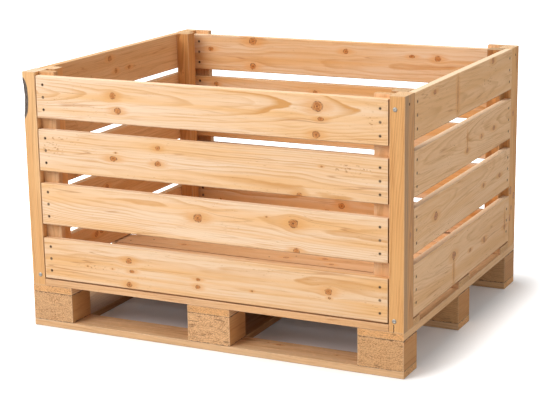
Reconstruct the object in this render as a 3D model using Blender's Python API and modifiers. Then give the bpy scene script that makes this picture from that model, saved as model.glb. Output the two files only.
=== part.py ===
"""Wooden pallet box: a nailed block pallet with corner posts and slatted panels on four sides.

Units are metres. +X runs along the long front, +Y runs to the rear and +Z is up.
The origin is on the floor under the middle of the box.
Left is -X, right is +X, front is -Y and rear is +Y.
"""
import math

import bmesh
import bpy
from mathutils import Matrix, Vector

# Overall size
LENGTH = 1.200                # outer size along X
WIDTH = 1.000                 # outer size along Y
POST_LENGTH = 0.649           # each post stands on a stringer

# Clearances
SEAT_GAP = 0.0003             # between faces that bear on each other
NOTCH_GAP = 0.0010            # round a post in its notch in the deck
SLAT_END_GAP = 0.0035         # between a front or rear slat and the post
SIDE_END_GAP = 0.0010         # between a side slat and the post
SLAT_DECK_GAP = 0.0040        # between the lowest slat and the deck
HOLE_GAP = 0.0004             # round a nail or screw in its hole
ARRIS = 0.0012                # eased long edge of a board

# Pallet
RUNNER_WIDTH = 0.100
RUNNER_THICKNESS = 0.020
BLOCK_LENGTH = 0.136          # along X
BLOCK_DEPTH = 0.100           # along Y
BLOCK_HEIGHT = 0.088
STRINGER_THICKNESS = 0.022
DECK_THICKNESS = 0.020
FRONT_DECK_WIDTH = 0.120
MIDDLE_DECK_WIDTH = 0.100
REAR_DECK_WIDTH = 0.150
FLOOR_BOARDS_PER_BAY = 2
FLOOR_GAP = 0.008             # between neighbouring boards of the deck
FLOOR_SETBACK = 0.030         # from the outer side face to a floor board's end

# Posts and panel frames
POST_X = 0.044
POST_Y = 0.070
BATTEN_WIDTH = 0.052          # along the panel
BATTEN_THICKNESS = 0.022
STUD_SIZE = 0.045

# Slats, listed from the lowest one up
SLAT_THICKNESS = 0.022
FRONT_SLAT_WIDTHS = (0.125, 0.125, 0.125, 0.125)
FRONT_SLAT_GAPS = (0.043, 0.038, 0.034)
REAR_SLAT_WIDTHS = (0.088, 0.130, 0.109, 0.083, 0.120)
REAR_SLAT_GAPS = (0.020, 0.020, 0.020, 0.025)
RIGHT_SLAT_WIDTHS = (0.150, 0.128, 0.128, 0.128)
RIGHT_SLAT_GAPS = (0.030, 0.030, 0.030)
LEFT_SLAT_WIDTHS = (0.088, 0.130, 0.109, 0.099, 0.118)
LEFT_SLAT_GAPS = (0.020, 0.020, 0.020, 0.020)

# Nail holes, each with a countersink for a flat head
NAIL_SHANK = 0.0016           # radius
NAIL_HEAD = 0.0032            # radius
NAIL_HEAD_DEPTH = 0.0020
NAIL_POINT = 0.0040
NAIL_SUNK = 0.0004            # from the board's face down to the head
NAILS_PER_SLAT_END = 3
SLAT_NAIL_LENGTH = 0.040
SLAT_NAIL_SPACING = 0.037     # less on a narrow slat, by the share of its width below
SLAT_NAIL_SHARE = 0.30
FLOOR_NAIL_LENGTH = 0.038
DECK_NAIL_LENGTH = 0.070
RUNNER_NAIL_LENGTH = 0.050
NAIL_MARGIN = 0.030           # from a board's or block's edge to its nails
CORNER_NAIL_MARGIN = 0.012    # from a post's inner face to the nail beside it
NAIL_SIDES = 6
HIDDEN_NAIL_SIDES = 4

# Round-head screws through the posts
ROUND_SCREW_LENGTH = 0.092
ROUND_SCREW_SHANK = 0.0025    # radius
ROUND_SCREW_HEAD = 0.0065     # radius
ROUND_SCREW_RISE = 0.0034
ROUND_SCREW_INSET = 0.028     # from the outer side face to the screw
ROUND_SCREW_TOP = 0.036       # below the post top
ROUND_SCREW_FOOT = 0.032      # above the post foot
SCREW_POINT = 0.0060
SCREW_SIDES = 10
ROUND_SCREWS = (
    ("front", "left", "foot"),
    ("front", "right", "foot"),
    ("front", "right", "top"),
    ("rear", "right", "foot"),
)

# Countersunk holes for the screws from the outer side faces into the front and rear panels
SIDE_SCREW_LENGTH = 0.080
SIDE_SCREW_SHANK = 0.0020     # radius
SIDE_SCREW_HEAD = 0.0040      # radius
SIDE_SCREW_TOP = 0.025        # below the post top
SIDE_SCREW_SIDES = 8

# Wane on the front left post, where the log's round outside was left on the edge
WANE_LENGTH = 0.120
WANE_DEPTH = 0.0060
WANE_TOP = 0.018              # below the post top
WANE_SEGMENTS = 48

# Heights
RUNNER_TOP = RUNNER_THICKNESS
BLOCK_TOP = RUNNER_TOP + BLOCK_HEIGHT
STRINGER_TOP = BLOCK_TOP + STRINGER_THICKNESS
DECK_TOP = STRINGER_TOP + DECK_THICKNESS
POST_TOP = STRINGER_TOP + POST_LENGTH

# Half sizes and inner faces, as distances from the middle of the box
HALF_LENGTH = LENGTH / 2
HALF_WIDTH = WIDTH / 2
POST_INNER_X = HALF_LENGTH - POST_X
POST_INNER_Y = HALF_WIDTH - POST_Y
SIDE_INNER = HALF_LENGTH - SLAT_THICKNESS
END_INNER = HALF_WIDTH - SLAT_THICKNESS
PANEL_INNER = END_INNER - BATTEN_THICKNESS
BATTEN_INNER = HALF_WIDTH - BATTEN_THICKNESS

# Places of the block rows
ROW_X = {"left": -(HALF_LENGTH - BLOCK_LENGTH / 2), "middle": 0.0, "right": HALF_LENGTH - BLOCK_LENGTH / 2}
ROW_Y = {"front": -(HALF_WIDTH - BLOCK_DEPTH / 2), "middle": 0.0, "rear": HALF_WIDTH - BLOCK_DEPTH / 2}
SIDES = {"left": -1, "right": 1}
ENDS = {"front": -1, "rear": 1}

# Y ranges of the slats and battens: the rear panel has its slats inside and its battens outside
SLAT_Y = {"front": (-HALF_WIDTH, -END_INNER), "rear": (PANEL_INNER, BATTEN_INNER)}
BATTEN_Y = {"front": (-END_INNER + SEAT_GAP, -PANEL_INNER), "rear": (BATTEN_INNER + SEAT_GAP, HALF_WIDTH)}

# Colours as linear RGB
PALE_PINE = (0.72, 0.49, 0.27)
WARM_PINE = (0.64, 0.38, 0.17)
BLOCK_PINE = (0.52, 0.30, 0.13)
INNER_PINE = (0.58, 0.38, 0.20)
ZINC = (0.62, 0.61, 0.58)


def clear_scene():
    """Remove every object that the file starts with."""
    for item in list(bpy.data.objects):
        bpy.data.objects.remove(item, do_unlink=True)


def new_collection(name):
    """Make a collection and link it to the scene."""
    collection = bpy.data.collections.new(name)
    bpy.context.scene.collection.children.link(collection)
    return collection


def principled(name, colour, roughness, metallic):
    """Make a material with one Principled shader."""
    material = bpy.data.materials.new(name)
    material.use_nodes = True
    shader = material.node_tree.nodes["Principled BSDF"]
    shader.inputs["Base Color"].default_value = (*colour, 1.0)
    shader.inputs["Roughness"].default_value = roughness
    shader.inputs["Metallic"].default_value = metallic
    material.diffuse_color = (*colour, 1.0)
    return material


def add_part(name, mesh, location, material):
    """Add one named sub-part under the box's empty."""
    part = bpy.data.objects.new(name, mesh)
    part.location = location
    part.parent = ROOT
    part.data.materials.append(material)
    PARTS.objects.link(part)
    return part


def add_cutter(name, mesh, location=(0.0, 0.0, 0.0)):
    """Add a hidden shape that Boolean modifiers subtract."""
    cutter = bpy.data.objects.new(name, mesh)
    cutter.location = location
    cutter.hide_render = True
    cutter.display_type = "WIRE"
    CUTTERS.objects.link(cutter)
    return cutter


def cut(part, cutters):
    """Subtract the cutters from a part."""
    for cutter in cutters:
        boolean = part.modifiers.new("cut " + cutter.name, "BOOLEAN")
        boolean.operation = "DIFFERENCE"
        boolean.solver = "EXACT"
        boolean.object = cutter


def box_mesh(name, size):
    """Make a box of a given size round its own middle."""
    mesh = bpy.data.meshes.new(name)
    shape = bmesh.new()
    bmesh.ops.create_cube(shape, size=1.0, matrix=Matrix.Diagonal((*size, 1.0)))
    long_axis = max(range(3), key=lambda axis: size[axis])
    weights = shape.edges.layers.float.new("bevel_weight_edge")
    for edge in shape.edges:
        run = edge.verts[1].co - edge.verts[0].co
        edge[weights] = 1.0 if abs(run[long_axis]) > 0 else 0.0
    shape.to_mesh(mesh)
    shape.free()
    return mesh


def add_board(name, low, high, colour, cutters=()):
    """Add a board between two corners, with its long edges eased."""
    size = [high[axis] - low[axis] for axis in range(3)]
    middle = [(high[axis] + low[axis]) / 2 for axis in range(3)]
    board = add_part(name, box_mesh(name, size), middle, principled(name + "_wood", colour, 0.72, 0.0))
    bevel = board.modifiers.new("eased edges", "BEVEL")
    bevel.limit_method = "WEIGHT"
    bevel.width = ARRIS
    bevel.segments = 1
    cut(board, cutters)
    return board


def spread(low, high):
    """Order a pair of values, so that a mirrored piece keeps its low corner first."""
    return (low, high) if low < high else (high, low)


def turned_mesh(name, profile, sides):
    """Turn (radius, height) points, listed from the bottom up, into a closed mesh round Z."""
    mesh = bpy.data.meshes.new(name)
    shape = bmesh.new()
    points = [shape.verts.new((radius, 0.0, height)) for radius, height in profile]
    edges = [shape.edges.new(pair) for pair in zip(points, points[1:])]
    bmesh.ops.spin(shape, geom=points + edges, axis=(0, 0, 1), cent=(0, 0, 0), angle=math.tau, steps=sides)
    bmesh.ops.remove_doubles(shape, verts=shape.verts, dist=0.00001)
    bmesh.ops.recalc_face_normals(shape, faces=shape.faces)
    shape.to_mesh(mesh)
    shape.free()
    return mesh


def placed_mesh(name, template, places):
    """Copy a turned template to each (head point, outward direction) place, as separate solids."""
    mesh = bpy.data.meshes.new(name)
    shape = bmesh.new()
    for point, outward in places:
        turn = Vector((0, 0, 1)).rotation_difference(Vector(outward)).to_matrix().to_4x4()
        before = set(shape.verts)
        shape.from_mesh(template)
        added = [vert for vert in shape.verts if vert not in before]
        bmesh.ops.transform(shape, matrix=Matrix.Translation(point) @ turn, verts=added)
    shape.to_mesh(mesh)
    shape.free()
    return mesh


def sunk_hole_profile(length, shank, head, head_depth, point, above):
    """Outline of the hole for a countersunk fastener, carried on above its head."""
    slope = (head - shank) / head_depth
    return [
        (0.0, -length - HOLE_GAP),
        (shank + HOLE_GAP, -length + point),
        (shank + HOLE_GAP, -head_depth),
        (head + HOLE_GAP + slope * above, above),
        (0.0, above),
    ]


def nail_hole_profile(length):
    """Outline of the hole for a nail, up past the face of the board."""
    return sunk_hole_profile(length, NAIL_SHANK, NAIL_HEAD, NAIL_HEAD_DEPTH, NAIL_POINT, 3 * NAIL_SUNK)


def add_nail_holes(name, length, places, sides):
    """Make the cutter for a group of nail holes."""
    hole = turned_mesh(name + "_shape", nail_hole_profile(length), sides)
    sunk = [(Vector(point) - NAIL_SUNK * Vector(outward), outward) for point, outward in places]
    return add_cutter(name, placed_mesh(name, hole, sunk))


def round_screw_profile():
    """Outline of a round-head screw whose head bears on height zero."""
    head = [
        (ROUND_SCREW_HEAD, SEAT_GAP),
        (ROUND_SCREW_HEAD * 0.92, ROUND_SCREW_RISE * 0.55),
        (ROUND_SCREW_HEAD * 0.60, ROUND_SCREW_RISE * 0.90),
        (0.0, ROUND_SCREW_RISE),
    ]
    shank = [
        (0.0, -ROUND_SCREW_LENGTH),
        (ROUND_SCREW_SHANK, -ROUND_SCREW_LENGTH + SCREW_POINT),
        (ROUND_SCREW_SHANK, SEAT_GAP),
    ]
    return shank + head


def round_screw_hole_profile():
    """Outline of the plain hole for a round-head screw."""
    radius = ROUND_SCREW_SHANK + HOLE_GAP
    return [
        (0.0, -ROUND_SCREW_LENGTH - HOLE_GAP),
        (radius, -ROUND_SCREW_LENGTH + SCREW_POINT),
        (radius, ROUND_SCREW_RISE),
        (0.0, ROUND_SCREW_RISE),
    ]


def slat_heights(panel):
    """Bottom and top height of each slat in a panel, from the lowest one up."""
    widths, gaps = {
        "front": (FRONT_SLAT_WIDTHS, FRONT_SLAT_GAPS),
        "rear": (REAR_SLAT_WIDTHS, REAR_SLAT_GAPS),
        "left": (LEFT_SLAT_WIDTHS, LEFT_SLAT_GAPS),
        "right": (RIGHT_SLAT_WIDTHS, RIGHT_SLAT_GAPS),
    }[panel]
    heights = []
    bottom = DECK_TOP + SLAT_DECK_GAP
    for index, width in enumerate(widths):
        heights.append((bottom, bottom + width))
        if index < len(gaps):
            bottom += width + gaps[index]
    return heights


def slat_nail_heights(bottom, top):
    """Heights of the nails in one slat end, spaced evenly about its middle."""
    spacing = min(SLAT_NAIL_SPACING, SLAT_NAIL_SHARE * (top - bottom))
    first = (bottom + top) / 2 - spacing * (NAILS_PER_SLAT_END - 1) / 2
    return [first + spacing * index for index in range(NAILS_PER_SLAT_END)]


def slat_nail_places():
    """Nails through the slat ends into the battens of the ends and the studs of the sides."""
    places = []
    batten_middle = POST_INNER_X - BATTEN_WIDTH / 2
    stud_middle = POST_INNER_Y - STUD_SIZE / 2
    for side, x_sign in SIDES.items():
        for end, y_sign in ENDS.items():
            for bottom, top in slat_heights(end):
                for height in slat_nail_heights(bottom, top):
                    point = (x_sign * batten_middle, SLAT_Y[end][0], height)
                    places.append((point, (0, -1, 0)))
            for bottom, top in slat_heights(side):
                for height in slat_nail_heights(bottom, top):
                    point = (x_sign * HALF_LENGTH, y_sign * stud_middle, height)
                    places.append((point, (x_sign, 0, 0)))
    return places


def deck_nail_columns():
    """X places of the deck nails over each row of blocks."""
    inner = HALF_LENGTH - BLOCK_LENGTH + NAIL_MARGIN / 2
    outer = POST_INNER_X - CORNER_NAIL_MARGIN
    middle = BLOCK_LENGTH / 2 - NAIL_MARGIN
    return [-outer, -inner, -middle, middle, inner, outer]


def deck_nail_places():
    """Long nails through the three nailed deck boards and the stringers into the blocks."""
    corner_line = (POST_INNER_Y + PANEL_INNER) / 2
    middle_line = MIDDLE_DECK_WIDTH / 2 - NAIL_MARGIN
    lines = (-corner_line, -middle_line, middle_line, corner_line)
    places = []
    for index, x in enumerate(deck_nail_columns()):
        for line in lines:
            staggered = line in (-middle_line, middle_line) and (index % 2 == 0) == (line > 0)
            if not staggered:
                places.append(((x, line, DECK_TOP), (0, 0, 1)))
    return places


def floor_bays():
    """Front and rear edge of each floor board, worked out from the deck boards beside it."""
    half_middle = MIDDLE_DECK_WIDTH / 2
    bays = {
        "front": (-HALF_WIDTH + FRONT_DECK_WIDTH, -half_middle),
        "rear": (half_middle, HALF_WIDTH - REAR_DECK_WIDTH),
    }
    boards = {}
    for end, (low, high) in bays.items():
        width = (high - low - FLOOR_GAP * (FLOOR_BOARDS_PER_BAY + 1)) / FLOOR_BOARDS_PER_BAY
        for index in range(FLOOR_BOARDS_PER_BAY):
            start = low + FLOOR_GAP + index * (width + FLOOR_GAP)
            boards[f"floor_board_{end}_{index + 1}"] = (start, start + width)
    return boards


def floor_nail_places():
    """Short nails through the floor boards into the stringers, two at each crossing."""
    places = []
    for start, end in floor_bays().values():
        for row in ROW_X.values():
            places.append(((row - NAIL_MARGIN / 2, start + NAIL_MARGIN, DECK_TOP), (0, 0, 1)))
            places.append(((row + NAIL_MARGIN / 2, end - NAIL_MARGIN, DECK_TOP), (0, 0, 1)))
    return places


def runner_nail_places():
    """Nails up through the runners into the blocks, two at each block."""
    reach_x = BLOCK_LENGTH / 2 - NAIL_MARGIN
    reach_y = BLOCK_DEPTH / 2 - NAIL_MARGIN
    places = []
    for row_x in ROW_X.values():
        for row_y in ROW_Y.values():
            places.append(((row_x - reach_x, row_y - reach_y, 0.0), (0, 0, -1)))
            places.append(((row_x + reach_x, row_y + reach_y, 0.0), (0, 0, -1)))
    return places


def round_screw_places():
    """Screws through the posts into the studs, by name."""
    heights = {"top": POST_TOP - ROUND_SCREW_TOP, "foot": STRINGER_TOP + ROUND_SCREW_FOOT}
    places = {}
    for end, side, height_name in ROUND_SCREWS:
        y_sign = ENDS[end]
        x = SIDES[side] * (HALF_LENGTH - ROUND_SCREW_INSET)
        point = (x, y_sign * HALF_WIDTH, heights[height_name])
        places[f"post_screw_{end}_{side}_{height_name}"] = (point, (0, y_sign, 0))
    return places


def side_screw_places():
    """Screws from the side faces through the post tops into the front battens and the top rear slat."""
    inner_layer = (PANEL_INNER + END_INNER) / 2
    places = []
    for x_sign in SIDES.values():
        for y_sign in ENDS.values():
            point = (x_sign * (HALF_LENGTH - NAIL_SUNK), y_sign * inner_layer, POST_TOP - SIDE_SCREW_TOP)
            places.append((point, (x_sign, 0, 0)))
    return places


def add_round_screws():
    """Add the round-head screws and return the cutter for their holes."""
    template = turned_mesh("post_screw_shape", round_screw_profile(), SCREW_SIDES)
    hole = turned_mesh("post_screw_hole", round_screw_hole_profile(), SCREW_SIDES)
    places = round_screw_places()
    for name, (point, outward) in places.items():
        screw = add_part(name, template.copy(), point, principled(name + "_zinc", ZINC, 0.35, 1.0))
        screw.rotation_mode = "QUATERNION"
        screw.rotation_quaternion = Vector((0, 0, 1)).rotation_difference(Vector(outward))
    return add_cutter("post_screw_holes", placed_mesh("post_screw_holes", hole, places.values()))


def add_side_screw_holes():
    """Make the cutter for the countersunk holes of the side screws."""
    profile = sunk_hole_profile(
        SIDE_SCREW_LENGTH, SIDE_SCREW_SHANK, SIDE_SCREW_HEAD, SIDE_SCREW_HEAD, SCREW_POINT, 3 * NAIL_SUNK
    )
    hole = turned_mesh("side_screw_hole", profile, SIDE_SCREW_SIDES)
    return add_cutter("side_screw_holes", placed_mesh("side_screw_holes", hole, side_screw_places()))


def add_notch_cutter():
    """Make the cutter for the corner notches that the posts stand in."""
    mesh = bpy.data.meshes.new("post_notches")
    shape = bmesh.new()
    size = Vector((2 * (POST_X + NOTCH_GAP), 2 * (POST_Y + NOTCH_GAP), 3 * DECK_THICKNESS))
    for x_sign in SIDES.values():
        for y_sign in ENDS.values():
            corner = Vector((x_sign * HALF_LENGTH, y_sign * HALF_WIDTH, DECK_TOP - DECK_THICKNESS / 2))
            matrix = Matrix.Translation(corner) @ Matrix.Diagonal((*size, 1.0))
            bmesh.ops.create_cube(shape, size=1.0, matrix=matrix)
    shape.to_mesh(mesh)
    shape.free()
    return add_cutter("post_notches", mesh)


def add_wane_cutter():
    """Make the large cylinder that scoops the wane from the front left post's outer edge."""
    radius = WANE_LENGTH ** 2 / (8 * WANE_DEPTH)
    outward = Vector((-1, -1, 0)).normalized()
    edge = Vector((-HALF_LENGTH, -HALF_WIDTH, POST_TOP - WANE_TOP - WANE_LENGTH / 2))
    middle = edge + outward * (radius - WANE_DEPTH)
    turn = Vector((0, 0, 1)).rotation_difference(Vector((1, -1, 0))).to_matrix().to_4x4()
    mesh = bpy.data.meshes.new("wane")
    shape = bmesh.new()
    bmesh.ops.create_cone(
        shape,
        cap_ends=True,
        segments=WANE_SEGMENTS,
        radius1=radius,
        radius2=radius,
        depth=4 * POST_Y,
        matrix=Matrix.Translation(middle) @ turn,
    )
    shape.to_mesh(mesh)
    shape.free()
    return add_cutter("wane", mesh)


def add_pallet(deck_holes, floor_holes, runner_holes, notches):
    """Add the runners, base boards, blocks, stringers and deck boards."""
    runner_edges = {
        "front": (-HALF_WIDTH, -HALF_WIDTH + RUNNER_WIDTH),
        "middle": (-RUNNER_WIDTH / 2, RUNNER_WIDTH / 2),
        "rear": (HALF_WIDTH - RUNNER_WIDTH, HALF_WIDTH),
    }
    for end, (start, stop) in runner_edges.items():
        low = (-HALF_LENGTH, start, 0.0)
        high = (HALF_LENGTH, stop, RUNNER_TOP)
        add_board(f"runner_{end}", low, high, WARM_PINE, [runner_holes])

    for side in ("left", "middle"):
        for end, sign in ENDS.items():
            x = ROW_X[side]
            near = sign * (RUNNER_WIDTH / 2 + SEAT_GAP)
            far = sign * (HALF_WIDTH - RUNNER_WIDTH - SEAT_GAP)
            y_low, y_high = spread(near, far)
            low = (x - BLOCK_LENGTH / 2, y_low, 0.0)
            high = (x + BLOCK_LENGTH / 2, y_high, RUNNER_TOP)
            add_board(f"base_board_{side}_{end}", low, high, WARM_PINE)

    for side, x in ROW_X.items():
        for end, y in ROW_Y.items():
            low = (x - BLOCK_LENGTH / 2, y - BLOCK_DEPTH / 2, RUNNER_TOP + SEAT_GAP)
            high = (x + BLOCK_LENGTH / 2, y + BLOCK_DEPTH / 2, BLOCK_TOP)
            add_board(f"block_{end}_{side}", low, high, BLOCK_PINE, [runner_holes, deck_holes])

    for side, x in ROW_X.items():
        low = (x - BLOCK_LENGTH / 2, -HALF_WIDTH, BLOCK_TOP + SEAT_GAP)
        high = (x + BLOCK_LENGTH / 2, HALF_WIDTH, STRINGER_TOP)
        add_board(f"stringer_{side}", low, high, WARM_PINE, [deck_holes, floor_holes])

    deck_edges = {
        "front": (-HALF_WIDTH, -HALF_WIDTH + FRONT_DECK_WIDTH),
        "middle": (-MIDDLE_DECK_WIDTH / 2, MIDDLE_DECK_WIDTH / 2),
        "rear": (HALF_WIDTH - REAR_DECK_WIDTH, HALF_WIDTH),
    }
    for place, (start, stop) in deck_edges.items():
        low = (-HALF_LENGTH, start, STRINGER_TOP + SEAT_GAP)
        high = (HALF_LENGTH, stop, DECK_TOP)
        cutters = [deck_holes] if place == "middle" else [notches, deck_holes]
        add_board(f"deck_board_{place}", low, high, PALE_PINE, cutters)

    reach = HALF_LENGTH - FLOOR_SETBACK
    for name, (start, end) in floor_bays().items():
        low = (-reach, start, STRINGER_TOP + SEAT_GAP)
        add_board(name, low, (reach, end, DECK_TOP), INNER_PINE, [floor_holes])


def add_corners(slat_holes, post_holes, side_holes, wane):
    """Add the posts, the battens of the front and rear panels and the studs of the side panels."""
    for side, x_sign in SIDES.items():
        for end, y_sign in ENDS.items():
            x = spread(x_sign * POST_INNER_X, x_sign * HALF_LENGTH)
            y = spread(y_sign * POST_INNER_Y, y_sign * HALF_WIDTH)
            cutters = [post_holes, side_holes]
            if side == "left" and end == "front":
                cutters.append(wane)
            low = (x[0], y[0], STRINGER_TOP + SEAT_GAP)
            add_board(f"post_{end}_{side}", low, (x[1], y[1], POST_TOP), PALE_PINE, cutters)

            outer = POST_INNER_X - SEAT_GAP
            x = spread(x_sign * (outer - BATTEN_WIDTH), x_sign * outer)
            y = BATTEN_Y[end]
            cutters = [slat_holes, side_holes] if end == "front" else [slat_holes]
            low = (x[0], y[0], DECK_TOP + SEAT_GAP)
            high = (x[1], y[1], POST_TOP)
            add_board(f"batten_{end}_{side}", low, high, WARM_PINE, cutters)

            outer = SIDE_INNER - SEAT_GAP
            x = spread(x_sign * (outer - STUD_SIZE), x_sign * outer)
            outer = POST_INNER_Y - SEAT_GAP
            y = spread(y_sign * (outer - STUD_SIZE), y_sign * outer)
            low = (x[0], y[0], DECK_TOP + SEAT_GAP)
            high = (x[1], y[1], POST_TOP)
            add_board(f"stud_{end}_{side}", low, high, WARM_PINE, [slat_holes, post_holes])


def add_slats(slat_holes, side_holes):
    """Add the slats of each panel, numbered from the lowest one up."""
    reach = POST_INNER_X - SLAT_END_GAP
    for end in ENDS:
        y = SLAT_Y[end]
        heights = slat_heights(end)
        for index, (bottom, top) in enumerate(heights):
            screwed = end == "rear" and index == len(heights) - 1
            cutters = [slat_holes, side_holes] if screwed else [slat_holes]
            low = (-reach, y[0], bottom)
            add_board(f"slat_{end}_{index + 1}", low, (reach, y[1], top), PALE_PINE, cutters)

    reach = POST_INNER_Y - SIDE_END_GAP
    for side, sign in SIDES.items():
        x = spread(sign * SIDE_INNER, sign * HALF_LENGTH)
        for index, (bottom, top) in enumerate(slat_heights(side)):
            low = (x[0], -reach, bottom)
            add_board(f"slat_{side}_{index + 1}", low, (x[1], reach, top), INNER_PINE, [slat_holes])


def main():
    """Build the whole box."""
    hidden = HIDDEN_NAIL_SIDES
    slat_holes = add_nail_holes("slat_nail_holes", SLAT_NAIL_LENGTH, slat_nail_places(), NAIL_SIDES)
    deck_holes = add_nail_holes("deck_nail_holes", DECK_NAIL_LENGTH, deck_nail_places(), hidden)
    floor_holes = add_nail_holes("floor_nail_holes", FLOOR_NAIL_LENGTH, floor_nail_places(), hidden)
    runner_holes = add_nail_holes("runner_nail_holes", RUNNER_NAIL_LENGTH, runner_nail_places(), hidden)
    post_holes = add_round_screws()
    side_holes = add_side_screw_holes()
    add_pallet(deck_holes, floor_holes, runner_holes, add_notch_cutter())
    add_corners(slat_holes, post_holes, side_holes, add_wane_cutter())
    add_slats(slat_holes, side_holes)


clear_scene()
PARTS = new_collection("pallet_box")
CUTTERS = new_collection("cutters")
ROOT = bpy.data.objects.new("pallet_box_frame", None)
PARTS.objects.link(ROOT)
main()
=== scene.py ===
import math
import random

import bmesh
import bpy
from mathutils import Matrix, Vector


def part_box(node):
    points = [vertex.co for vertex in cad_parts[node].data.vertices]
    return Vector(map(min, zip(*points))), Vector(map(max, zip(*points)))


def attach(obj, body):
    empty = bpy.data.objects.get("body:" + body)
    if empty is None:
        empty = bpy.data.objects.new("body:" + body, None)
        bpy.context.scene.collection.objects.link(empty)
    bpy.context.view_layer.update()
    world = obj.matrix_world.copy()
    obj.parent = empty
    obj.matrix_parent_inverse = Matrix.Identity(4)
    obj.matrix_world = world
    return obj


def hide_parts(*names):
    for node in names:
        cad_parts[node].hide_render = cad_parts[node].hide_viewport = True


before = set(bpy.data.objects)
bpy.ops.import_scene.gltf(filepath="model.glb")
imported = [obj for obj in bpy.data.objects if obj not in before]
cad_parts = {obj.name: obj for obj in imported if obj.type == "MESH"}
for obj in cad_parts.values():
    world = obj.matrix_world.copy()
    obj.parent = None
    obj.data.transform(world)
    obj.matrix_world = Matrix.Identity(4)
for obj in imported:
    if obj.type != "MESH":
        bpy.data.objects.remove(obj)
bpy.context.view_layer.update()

# The box, in metres: its middle is at x = 0 and y = 0, and its front faces -Y
HALF_X = 0.600                # to the outer faces of the posts
HALF_Y = 0.500
DECK_TOP = 0.150
BLOCK_X = 0.532               # middles of the outer rows of blocks
BLOCK_Y = 0.450
REAR_SLAT_FACE = 0.456        # the rear panel has its slats inside
WANE_MIDDLE = 0.701           # height of the scooped edge on the front left post
WANE_HALF_HEIGHT = 0.062
WANE_DEPTH = 0.0185
CRACK_X = 0.5675              # crack under the foot screw of the front right post

# Nails, in metres, where the solids have their holes
END_NAIL_X = 0.530            # slat nails of the front and rear panels
SIDE_NAIL_Y = 0.4075          # slat nails of the side panels
SLAT_NAIL_SPACING = 0.037
SLAT_NAIL_SHARE = 0.30        # of a slat's width, where that is less
DECK_NAIL_X = (-0.544, -0.479, -0.038, 0.038, 0.479, 0.544)
DECK_NAIL_Y = 0.443
FLOOR_NAIL_ASIDE = 0.015
FLOOR_NAIL_INSET = 0.030      # from the edges of a floor board
RUNNER_NAIL_ASIDE = 0.038
NAIL_STAGGER = 0.020
SLAT_NAIL_LENGTH = 0.040
DECK_NAIL_LENGTH = 0.070
FLOOR_NAIL_LENGTH = 0.038
RUNNER_NAIL_LENGTH = 0.050
NAIL_SUNK = 0.0004
NAIL_HEAD = 0.0032
NAIL_SHANK = 0.0016
NAIL_POINT = 0.004
NAIL_SIDES = 12
NAIL_TURN = 0.3               # from one nail to the next, in radians

# Screws, in metres
ZINC_SCREW = dict(
    head=0.0065, rise=0.0031, shank=0.0025, length=0.092, recess=0.0016, countersunk=False,
)
SIDE_SCREW = dict(
    head=0.0040, rise=0.0001, shank=0.0020, length=0.080, recess=0.0012, countersunk=True,
)
SIDE_SCREW_X = HALF_X - 0.0004
SIDE_SCREW_Y = 0.467
SIDE_SCREW_Z = 0.754
SCREW_POINT = 0.006
SCREW_SIDES = 48
SCREW_RINGS = 14

# Colours of marks on the wood and the metal, and of painted shade and light on the wood
HAIR_BROWN = (0.46, 0.185, 0.055, 1.0)
FLECK_BROWN = (0.40, 0.150, 0.030, 1.0)
HALO_ORANGE = (0.72, 0.330, 0.095, 1.0)
CORE_DARK = (0.48, 0.160, 0.034, 1.0)
CORE_LIGHT = (0.66, 0.262, 0.066, 1.0)
KNOT_RING = (0.150, 0.045, 0.010, 1.0)
PIT_BROWN = (0.330, 0.135, 0.040, 1.0)
CHECK_DARK = (0.16, 0.070, 0.025, 1.0)
WORN_PALE = (0.82, 0.62, 0.42, 1.0)
# painted shade in the seams where a board meets the boards over and under it
SEAM_SHADE_DARK = (0.085, 0.040, 0.018, 1.0)
DIRT_GREY = (0.26, 0.19, 0.13, 1.0)
# painted shade along the lower edges of the slats
UNDER_EDGE_SHADE_BROWN = (0.300, 0.130, 0.045, 1.0)
# painted light on the top faces of the right panel's slats
TOP_PAINTED_LIGHT = (0.86, 0.660, 0.450, 1.0)
IRON_STAIN = (0.120, 0.055, 0.024, 1.0)
BARK_DARK = (0.060, 0.044, 0.034, 1.0)
BARK_PALE = (0.170, 0.130, 0.105, 1.0)
POST_STAIN = (0.300, 0.200, 0.125, 1.0)
CRACK_DARK = (0.045, 0.020, 0.010, 1.0)
RUST = (0.085, 0.036, 0.018, 1.0)

# The stage
WHITE = (1.0, 1.0, 1.0, 1.0)
FLOOR_PAINTED_SHADE = (0.60, 0.62, 0.68, 1.0)     # painted shade on the floor under the box, as the camera sees it
FLOOR_BOUNCE = (0.72, 0.72, 0.73, 1.0)    # as it lights the box
FLOOR_HALF = 12
FLOOR_DROP = 0.0006
WORLD_LIGHT = 0.36

# The camera, found from the box's corners in the photograph
CAMERA_PLACE = (2.0071, -4.1694, 1.4718)
CAMERA_AZIMUTH = math.radians(25.98)
CAMERA_PITCH = math.radians(14.05)
CAMERA_ROLL = math.radians(-0.89)
CAMERA_LENS_PX = 1527.2
IMAGE_WIDTH_PX = 550
SENSOR_WIDTH = 36.0

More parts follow.
